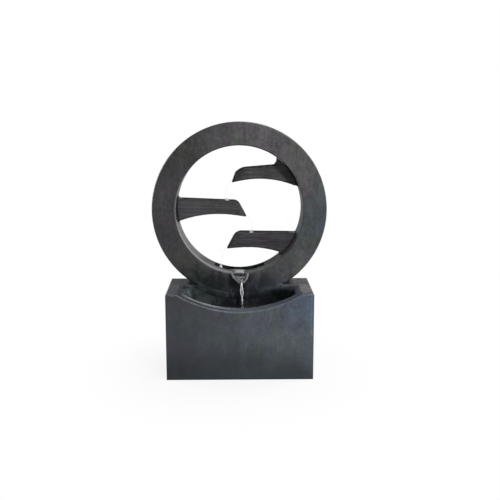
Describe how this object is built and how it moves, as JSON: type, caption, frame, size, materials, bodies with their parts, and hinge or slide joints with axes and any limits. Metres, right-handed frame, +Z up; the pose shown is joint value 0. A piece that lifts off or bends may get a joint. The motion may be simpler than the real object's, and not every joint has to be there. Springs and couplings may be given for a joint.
{
  "type": "garden ring fountain",
  "caption": "Upright ring on a square basin; water steps down through leaf troughs inside the ring, fills a pool and pours from a beak spout into the bowl.",
  "frame": {"origin": "centre of the underside of the base, where it stands on the ground", "axes": "+Z up; the front with the dipped rim faces -Y; +X is on the right for someone who stands in front and looks along +Y"},
  "size_m": [0.57, 0.25, 0.8125],
  "materials": {
    "charcoal_resin": "matte, brushed and mottled, hand-rubbed edges",
    "back_panel": "matte moulded",
    "stainless_steel": "satin",
    "brass": "satin",
    "black_rubber": "matte",
    "black_plastic": "fine moulded grain",
    "clear_vinyl": "smooth",
    "white_plastic": "fine moulded grain",
    "shaft_ceramic": "polished",
    "filter_sponge": "open-cell foam",
    "magnet": "nickel plated"
  },
  "bodies": {
    "root": {"base_shell": "charcoal_resin", "ring_shell": "charcoal_resin", "pour_spout": "charcoal_resin", "leaf_upper": "charcoal_resin", "leaf_middle": "charcoal_resin", "leaf_lower": "charcoal_resin", "ring_back_cover": "back_panel", "ring_cover_screws": "stainless_steel", "ring_bolts": "stainless_steel", "ring_washers": "stainless_steel", "hose_clamps": "stainless_steel", "door_pins": "stainless_steel", "ring_inserts": "brass", "ring_seat_gasket": "black_rubber", "cord_grommet": "black_rubber", "drain_seal": "black_rubber", "pump_feet": "black_rubber", "pump_bushes": "black_rubber", "return_screen": "black_plastic", "hose_clips": "black_plastic", "leaf_inlet_elbow": "black_plastic", "pump_housing": "black_plastic", "pump_volute": "black_plastic", "riser_hose": "clear_vinyl", "pump_shaft": "shaft_ceramic", "door_magnets": "magnet"},
    "rotor": {"pump_rotor": "white_plastic"},
    "dial": {"flow_dial": "white_plastic"},
    "door": {"access_door": "back_panel", "door_strikes": "stainless_steel"},
    "plug": {"drain_plug": "black_plastic"},
    "strainer": {"pump_strainer": "black_plastic", "pump_sponge": "filter_sponge"}
  },
  "joints": [
    {"name": "impeller_spin", "type": "hinge", "parent": "root", "child": "rotor", "pos_m": [0.07, 0.086, 0.045], "axis": [1, 0, 0], "continuous": true},
    {"name": "flow_dial_turn", "type": "hinge", "parent": "root", "child": "dial", "pos_m": [0.046, 0.111, 0.045], "axis": [0, 1, 0], "range_deg": [0, 90]},
    {"name": "access_door_swing", "type": "hinge", "parent": "root", "child": "door", "pos_m": [-0.0955, 0.121, 0.167], "axis": [0, 0, 1], "range_deg": [0, 90]},
    {"name": "drain_plug_pull", "type": "slide", "parent": "root", "child": "plug", "axis": [0, 1, 0], "range_m": [0, 0.025]},
    {"name": "strainer_pull", "type": "slide", "parent": "root", "child": "strainer", "axis": [-1, 0, 0], "range_m": [0, 0.022]}
  ]
}
